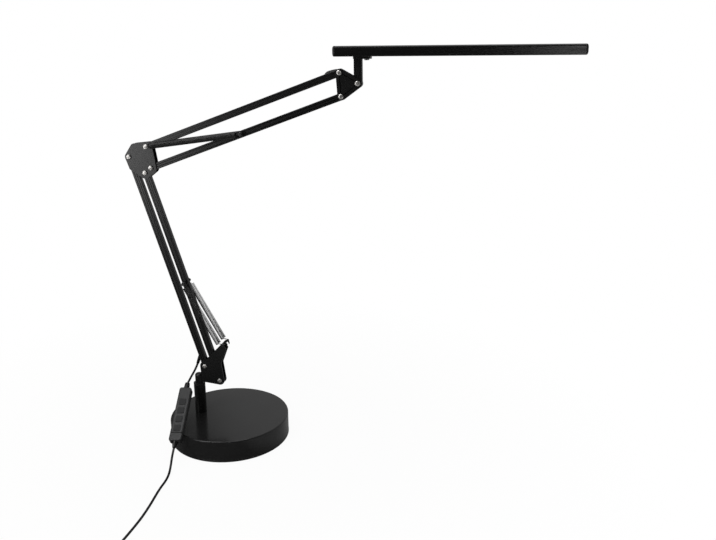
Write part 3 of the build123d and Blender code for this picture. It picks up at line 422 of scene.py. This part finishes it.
# Pivot bolts: pan heads with a cross recess, a thread that shows past the nut, and chamfered nuts
bolts = {
    "shank": 4.0, "shankSides": 24, "tip": 0.8, "tipChamfer": 0.35, "sharp": 32,
    "plate": 5.8, "spring": 12.45,  # half the grip: over two plates, and over two springs
    "head": [(0, 0), (3.6, 0), (3.8, 0.15), (3.8, 1.5), (3.74, 1.85), (3.55, 2.12), (3.2, 2.32),
             (2.6, 2.47), (1.8, 2.56), (1.0, 2.6), (0, 2.6)],  # radius and height over its seat
    "headSides": 40, "firstTurn": 0.5, "nextTurn": 1.1,  # each driven to its own angle
    "recess": ((1.95, 0.42, 2.9), (0.75, 0.26, 0.75)),  # reach, half width, height: mouth and floor
    "turret": [(-37.0, 122.05), (-12.435, 97.826)],
    "elbow": [(-139.875, 464.95), (-115.31, 440.726), (-105.063, 448.645)],
    "elbowSpring": [(-107.575, 482.05)],
    "headBracket": [(192.737, 593.139), (195.249, 559.734), (219.437, 578.339)],
}
thread = {"pitch": 0.7, "turns": 8, "length": 6.0, "runOut": 0.3, "depth": 0.22}
nut = {"flats": 7.0, "high": 3.2, "sides": 36, "bore": 2.02, "mouth": 2.35, "mouthDeep": 0.35,
       "face": 0.97, "cornerFrom": 0.985,  # as shares of half the flats
       "cornerSlope": 0.577}


def latheRings(profile, sides):  # rings about Z, with the first and last points on the axis
    verts, faces = [], []
    for radius, height in profile:
        for k in range(sides):
            turn = 2 * math.pi * k / sides
            verts.append((radius * math.cos(turn), radius * math.sin(turn), height))
    for i in range(len(profile) - 1):
        a, b = i * sides, (i + 1) * sides
        for k in range(sides):
            n = (k + 1) % sides
            if profile[i][0] and profile[i + 1][0]:
                faces.append((a + k, a + n, b + n, b + k))
            elif profile[i + 1][0]:
                faces.append((a, b + n, b + k))
            else:
                faces.append((a + k, a + n, b))
    return verts, faces


def crossRecess():
    verts = []
    for reach, half, height in bolts["recess"]:
        quarter = [(half, half), (half, reach), (-half, reach)]
        for k in range(4):
            cosine, sine = round(math.cos(math.pi / 2 * k)), round(math.sin(math.pi / 2 * k))
            verts += [(x * cosine - y * sine, x * sine + y * cosine, height) for x, y in quarter]
    count = len(verts) // 2
    return verts, bridge(2, count) + [tuple(range(count)), tuple(range(count, 2 * count))]


def panHeadMesh():
    blankMesh = cleanMesh("head_blank", *latheRings(bolts["head"], bolts["headSides"]))
    headBlank = bpy.data.objects.new("head_blank", blankMesh)
    recess = bpy.data.objects.new("recess", cleanMesh("recess", *crossRecess()))
    for helper in (headBlank, recess):
        scene.collection.objects.link(helper)
    cut = headBlank.modifiers.new("recess", "BOOLEAN")
    cut.object = recess
    cut.operation = "DIFFERENCE"
    cut.solver = "EXACT"
    bpy.context.view_layer.update()
    depsgraph = bpy.context.evaluated_depsgraph_get()
    mesh = bpy.data.meshes.new_from_object(headBlank.evaluated_get(depsgraph))
    for helper in (headBlank, recess):
        bpy.data.objects.remove(helper)
    return mesh


def nutShape():  # hexagon whose corners are turned off at both faces
    verts, faces = [], []
    flats, high = nut["flats"] / 2, nut["high"]
    for k in range(nut["sides"]):
        turn = 2 * math.pi * k / nut["sides"]
        outer = flats / math.cos((turn % (math.pi / 3)) - math.pi / 6)
        drop = max(outer - flats * nut["cornerFrom"], 0) * nut["cornerSlope"]
        section = [(nut["bore"], nut["mouthDeep"]), (nut["mouth"], 0), (flats * nut["face"], 0),
                   (outer, drop), (outer, high - drop), (flats * nut["face"], high),
                   (nut["mouth"], high), (nut["bore"], high - nut["mouthDeep"])]
        verts += [(radius * math.cos(turn), radius * math.sin(turn), height)
                  for radius, height in section]
    count = len(section)
    for k in range(nut["sides"]):
        a, b = k * count, (k + 1) % nut["sides"] * count
        faces += [(a + i, b + i, b + (i + 1) % count, a + (i + 1) % count) for i in range(count)]
    return verts, faces


def shankShape(length):  # plain shank whose last part is threaded
    radius, begin = bolts["shank"] / 2, length - thread["length"]
    profile = [(0, 0), (radius, 0), (radius, begin - thread["runOut"])]
    for i in range(thread["turns"]):
        profile += [(radius, begin + thread["pitch"] * i),
                    (radius - thread["depth"], begin + thread["pitch"] * (i + 0.5))]
    profile += [(radius - bolts["tipChamfer"], length), (0, length)]
    return latheRings(profile, bolts["shankSides"])


panHead = panHeadMesh()


def boltSet(name, spots, grip, node, nutNode, body):
    heads, nuts = bmesh.new(), bmesh.new()
    shank = cleanMesh("shank", *shankShape(2 * grip + nut["high"] + bolts["tip"]))
    nutMesh = cleanMesh("nut", *nutShape())
    for i, (x, z) in enumerate(spots):
        spin = Matrix.Rotation(bolts["firstTurn"] + bolts["nextTurn"] * i, 4, "Z")
        near, far = Matrix.Translation((x, -grip, z)), Matrix.Translation((x, grip, z))
        toFront = Matrix.Rotation(math.pi / 2, 4, "X") @ spin
        toBack = Matrix.Rotation(-math.pi / 2, 4, "X") @ spin
        for work, mesh, turn in ((heads, panHead, near @ toFront), (heads, shank, near @ toBack),
                                 (nuts, nutMesh, far @ toBack)):
            copy = mesh.copy()
            copy.transform(Matrix.Scale(mm, 4) @ turn)
            work.from_mesh(copy)
            bpy.data.meshes.remove(copy)
    for work, label, cadNode in ((heads, name, node), (nuts, name.replace("bolt", "nut"), nutNode)):
        mesh = bpy.data.meshes.new(label)
        work.to_mesh(mesh)
        work.free()
        piece = addPiece(label, mesh, finishes["bright_steel"], sharp=bolts["sharp"])
        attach(piece, body)
        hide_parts(cadNode)


boltSet("turret_pivot_bolts", bolts["turret"], bolts["plate"], "turret_bolts", "turret_nuts",
        "turret")
boltSet("elbow_pivot_bolts", bolts["elbow"], bolts["plate"], "elbow_bolts", "elbow_nuts", "elbow")
boltSet("elbow_long_bolt", bolts["elbowSpring"], bolts["spring"], "elbow_spring_bolt",
        "elbow_spring_nut", "elbow")
boltSet("head_pivot_bolts", bolts["headBracket"], bolts["plate"], "head_bolts", "head_nuts",
        "head_bracket")
print("bolt sets: 4")

# Lamp head's end caps: the section shrinks round a quarter ellipse, which ends the bar softly
caps = {"wide": 46.0, "high": 14.4, "thick": 3.0, "round": 4.4, "steps": 8, "sharp": 40,
        "topCorner": 3.0, "lowCorner": 0.7, "leastCorner": 2.0, "left": 186.037, "length": 346.0,
        "low": 615.539, "pivot": (219.437, 0, 578.339), "tilt": 0.55}


def headSection(inset, share):  # the bar's section in Y and Z, inset by so much
    top = max(caps["topCorner"] - inset, caps["leastCorner"])
    low = caps["lowCorner"] + (caps["leastCorner"] - caps["lowCorner"]) * share
    return roundedRing(caps["wide"] / 2 - inset, caps["high"] / 2 - inset, (top, top, low, low))


def headCap(name, start, outward, node):
    verts = []
    rings = caps["steps"] + 1
    for step in range(rings):
        share = step / caps["steps"]
        x = start + outward * caps["thick"] * math.sin(math.pi / 2 * share)
        for y, z in headSection(caps["round"] * (1 - math.cos(math.pi / 2 * share)), share):
            verts.append((x, y, caps["low"] + caps["high"] / 2 + z))
    count = len(verts) // rings
    pivot = Vector(caps["pivot"])
    lean = Matrix.Rotation(-math.radians(caps["tilt"]), 3, "Y")
    verts = [(lean @ (Vector(v) - pivot) + pivot) * mm for v in verts]
    faces = bridge(rings, count) + endFaces(rings, count)
    piece = meshPiece(name, verts, faces, "black_plastic", sharp=caps["sharp"])
    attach(piece, "head")
    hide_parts(node)


headCap("head_end_left", caps["left"] + caps["thick"], -1, "head_cap_left")
headCap("head_end_right", caps["left"] + caps["length"] - caps["thick"], 1, "head_cap_right")

# Rubber boot on the upper tube: a long low hump that runs in between the bracket's plates
hump = {"pivot": (192.737, 593.139), "run": (0.9379, 0.3469), "from": -22.0, "to": -1.5,
        "top": 5.25, "half": 2.75, "acrossSteps": 12, "fullness": 0.7, "endWide": 0.55,
        "endGrow": 1.6, "sharp": 50,
        "heights": [0.3, 1.5, 2.3, 2.6, 2.65, 2.5, 2.3, 2.05, 1.8, 1.5, 1.1, 0.4]}  # above the tube


def leadBoot():
    verts = []
    (pivotX, pivotZ), (runX, runZ) = hump["pivot"], hump["run"]
    rings, count = len(hump["heights"]), hump["acrossSteps"] + 1
    for i, height in enumerate(hump["heights"]):
        share = i / (rings - 1)
        along = hump["from"] + (hump["to"] - hump["from"]) * share
        narrow = min(1.0, hump["endWide"] + hump["endGrow"] * min(share, 1 - share) ** 0.5)
        for k in range(count):
            turn = math.pi * k / hump["acrossSteps"]
            up = hump["top"] + height * math.sin(turn) ** hump["fullness"]
            y = hump["half"] * narrow * math.cos(turn)
            verts.append(point(pivotX + runX * along - runZ * up, y,
                               pivotZ + runZ * along + runX * up))
    return verts, bridge(rings, count) + endFaces(rings, count)


boot = meshPiece("upper_lead_boot", *leadBoot(), "black_plastic", sharp=hump["sharp"])
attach(boot, "upper_top")
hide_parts("upper_wire_boot")

# Control: a black V-shaped liner in the seam between its body and its end piece, painted shade that
# darkens the seam line
seamShade = {"low": (-54.8, -102.1, 33.0), "axis": (-0.1058, 0.8262, 0.5534),
          "side": (0.9919, 0.1271, 0.0), "up": 13.4, "wide": 20.0, "thick": 12.0, "corner": 2.6,
          "width": 1.7,  # its section is a V with thin lips: share of this width, depth in the shell
          "section": ((-0.5, -0.15), (0.0, 0.55), (0.5, -0.15), (0.5, 1.0), (-0.5, 1.0))}


def seamRing():
    verts = []
    axis, sideways = Vector(seamShade["axis"]), Vector(seamShade["side"])
    outFace = sideways.cross(axis)
    for share, deep in seamShade["section"]:
        middle = Vector(seamShade["low"]) + axis * (seamShade["up"] + share * seamShade["width"])
        ring = roundedRing(seamShade["wide"] / 2 - deep, seamShade["thick"] / 2 - deep,
                           [seamShade["corner"] - deep] * 4)
        verts += [(middle + sideways * along + outFace * out) * mm for along, out in ring]
    rings = len(seamShade["section"])
    return verts, bridge(rings, len(verts) // rings, closed=True)


# the seam's painted shade: a deep-black V laid into the groove
seam = meshPiece("control_seam_painted_shade", *seamRing(), "cable_jacket", smooth=False)
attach(seam, "base")
print("caps, boot and seam made")

# Edges: sheet, mouldings and turned parts lose their sharp corners, by this many millimetres
softEdges = {
    0.2: ["base_screws"],
    0.25: ["plug_shell"],
    0.3: ["diffuser", "lead_tie", "spring_hook_pin"],
    0.35: ["turret_plate_near", "turret_plate_far", "elbow_plate_near", "elbow_plate_far",
           "head_plate_near", "head_plate_far"],
    0.4: ["head_mount_plate", "lower_spring_pin", "upper_spring_pin"],
    0.5: ["head_stem", "swivel_block", "post", "lower_rear_tube", "lower_front_tube",
          "upper_top_tube", "upper_bottom_tube", "base_floor", "base_pad"],
    0.6: ["head_housing", "control_button_1", "control_button_2", "control_button_3",
          "control_button_4"],
}
rounding = {"weld": 0.01 * mm, "segments": 2, "fromAngle": 50}
for width, names in softEdges.items():
    for name in names:
        joinUp = nodes[name].modifiers.new("join", "WELD")
        joinUp.merge_threshold = rounding["weld"]
        edge = nodes[name].modifiers.new("edge", "BEVEL")
        edge.width = width * mm
        edge.segments = rounding["segments"]
        edge.limit_method = "ANGLE"
        edge.angle_limit = math.radians(rounding["fromAngle"])
        even = nodes[name].modifiers.new("even", "WEIGHTED_NORMAL")
        even.keep_sharp = False
print("soft edges:", sum(len(names) for names in softEdges.values()))

# Stage: a white sweep behind the lamp, a dim room in front of it, soft boxes to the left and above
stage = {
    "floorHalf": 12.0, "floorColour": "#f2f2f0",
    "nearToFar": (0.25, 0.7), "seenWhite": (0.95, 1.0),  # pure white away from the lamp
    "mirrorSpan": (-2.0, 1.0),  # how light the floor is in reflections, from front to back; its dark stretch round the lamp is painted shadow
    "mirrorGreys": [(-1.7, 0.04), (-1.0, 0.4), (-0.5, 0.3), (-0.3, 0.06), (-0.1, 0.06),
                    (0.25, 0.3)],
    "besideX": (0.083, 0.12), "besideY": (-0.45, -0.3), "paintedGlowGrey": 0.28,  # and right of the base, a patch of painted light seen only in reflections
    "worldSoft": 0.3, "frontToBack": (-0.5, 0.8), "roomGreys": (0.03, 0.42),
    "flagToward": (-0.5, 0.65, 0.57), "flagEdge": (0.96, 0.972),  # a black panel, up behind left
    "flagGrey": 0.1,
}
white = (1, 1, 1, 1)


def rayKinds(tree):  # camera rays, and the glossy and transmission rays together
    rays = addNode(tree, "ShaderNodeLightPath").outputs
    mirror = addNode(tree, "ShaderNodeMath", operation="ADD", use_clamp=True,
                     links={0: rays["Is Glossy Ray"], 1: rays["Is Transmission Ray"]})
    return rays["Is Camera Ray"], mirror.outputs[0]


def mixShaders(tree, share, first, second):
    return addNode(tree, "ShaderNodeMixShader", links={0: share, 1: first, 2: second}).outputs[0]


def glowNode(tree, strength):
    return addNode(tree, "ShaderNodeEmission", {"Color": white, "Strength": strength}).outputs[0]


def paperSweep():
    paper = bpy.data.materials.new("white_paper_sweep")
    paper.use_nodes = True
    tree = paper.node_tree
    tree.nodes.remove(tree.nodes["Principled BSDF"])
    seen, mirror = rayKinds(tree)
    spot = addNode(tree, "ShaderNodeTexCoord").outputs["Object"]
    away = addNode(tree, "ShaderNodeVectorMath", links={0: spot}, operation="LENGTH")
    fade = mapRange(tree, away.outputs["Value"], stage["nearToFar"], stage["seenWhite"])
    whiter = multiply(tree, seen, fade)
    dull = addNode(tree, "ShaderNodeBsdfDiffuse", {"Color": linearColour(stage["floorColour"])})
    lit = mixShaders(tree, whiter, dull.outputs[0], glowNode(tree, 1.0))
    # in reflections the floor glows by this ramp, dark round the lamp as painted shadow
    along = addNode(tree, "ShaderNodeSeparateXYZ", links={0: spot}).outputs
    ramp = addNode(tree, "ShaderNodeValToRGB",
                   links={"Fac": mapRange(tree, along["Y"], stage["mirrorSpan"])})
    stops = ramp.color_ramp.elements
    first, last = stage["mirrorSpan"]
    for at, grey in stage["mirrorGreys"]:
        stops.new((at - first) / (last - first)).color = (grey, grey, grey, 1)
    for spare in (-1, 0):  # the two stops that every new ramp has
        stops.remove(stops[spare])
    dim = addNode(tree, "ShaderNodeEmission", {"Strength": 1.0}, {"Color": ramp.outputs["Color"]})
    # a patch of painted light on the floor right of the base, glowing only in reflections
    beside = multiply(tree, mapRange(tree, along["X"], stage["besideX"]),
                      mapRange(tree, along["Y"], stage["besideY"]))
    mirrored = mixShaders(tree, beside, dim.outputs[0], glowNode(tree, stage["paintedGlowGrey"]))
    whole = mixShaders(tree, mirror, lit, mirrored)
    tree.links.new(whole, tree.nodes["Material Output"].inputs["Surface"])
    return paper


def studioRoom():
    world = bpy.data.worlds.new("white_studio")
    world.use_nodes = True
    tree = world.node_tree
    back = tree.nodes["Background"]
    seen, mirror = rayKinds(tree)
    looking = addNode(tree, "ShaderNodeTexCoord").outputs["Generated"]
    heading = addNode(tree, "ShaderNodeSeparateXYZ", links={0: looking}).outputs
    room = mapRange(tree, heading["Y"], stage["frontToBack"], stage["roomGreys"])
    toFlag = addNode(tree, "ShaderNodeVectorMath", {1: stage["flagToward"]}, {0: looking},
                     operation="DOT_PRODUCT").outputs["Value"]
    flag = mapRange(tree, toFlag, stage["flagEdge"], (1.0, stage["flagGrey"]))
    mirrored = addNode(tree, "ShaderNodeMix", {"A": stage["worldSoft"]},
                       {"Factor": mirror, "B": multiply(tree, room, flag)})
    level = addNode(tree, "ShaderNodeMix", {"B": 1.0},
                    {"Factor": seen, "A": mirrored.outputs["Result"]})
    back.inputs["Color"].default_value = white
    tree.links.new(level.outputs["Result"], back.inputs["Strength"])
    return world


half = stage["floorHalf"]
floorMesh = cleanMesh("studio_floor", [(-half, -half, 0), (half, -half, 0), (half, half, 0),
                                       (-half, half, 0)], [(0, 1, 2, 3)])
floor = addPiece("studio_floor", floorMesh, paperSweep())
scene.world = studioRoom()

softBoxes = {
    "key_left": {"place": (-0.95, -1.25, 0.42), "aim": (-0.12, 0, 0.42), "size": (0.6, 0.7),
                 "watts": 4},
    "front_high": {"place": (-0.65, -1.05, 1.5), "aim": (0.0, 0, 0.3), "size": (0.7, 0.7),
                   "watts": 9},
    "head_glint": {"place": (0.76, -2.2, 0.6), "aim": (0.5, 0, 0.62), "size": (0.14, 0.3),
                   "watts": 0.8},
    "top": {"place": (0.1, -0.1, 2.2), "aim": (0.1, 0, 0.2), "size": (1.6, 1.2), "watts": 14},
}


def facing(direction):  # lights and cameras look along -Z
    return Vector(direction).to_track_quat("-Z", "Y").to_euler()


for name, box in softBoxes.items():
    light = bpy.data.lights.new(name, "AREA")
    light.shape = "RECTANGLE"
    light.size, light.size_y = box["size"]
    light.energy = box["watts"]
    piece = bpy.data.objects.new(name, light)
    piece.location = box["place"]
    piece.rotation_euler = facing(Vector(box["aim"]) - Vector(box["place"]))
    scene.collection.objects.link(piece)
print("stage:", len(softBoxes), "soft boxes")

eye = {"place": (0.41163, -1.09249, 0.63161), "forward": (-0.1664, 0.9434, -0.2868), "lens": 37.88,
       "sensor": 36.0, "nearest": 0.01}
camera = bpy.data.cameras.new("eye")
camera.lens = eye["lens"]
camera.sensor_width = eye["sensor"]
camera.sensor_fit = "HORIZONTAL"
camera.clip_start = eye["nearest"]
view = bpy.data.objects.new("eye", camera)
view.location = eye["place"]
view.rotation_euler = facing(eye["forward"])
scene.collection.objects.link(view)
scene.camera = view
scene.view_settings.view_transform = "Standard"
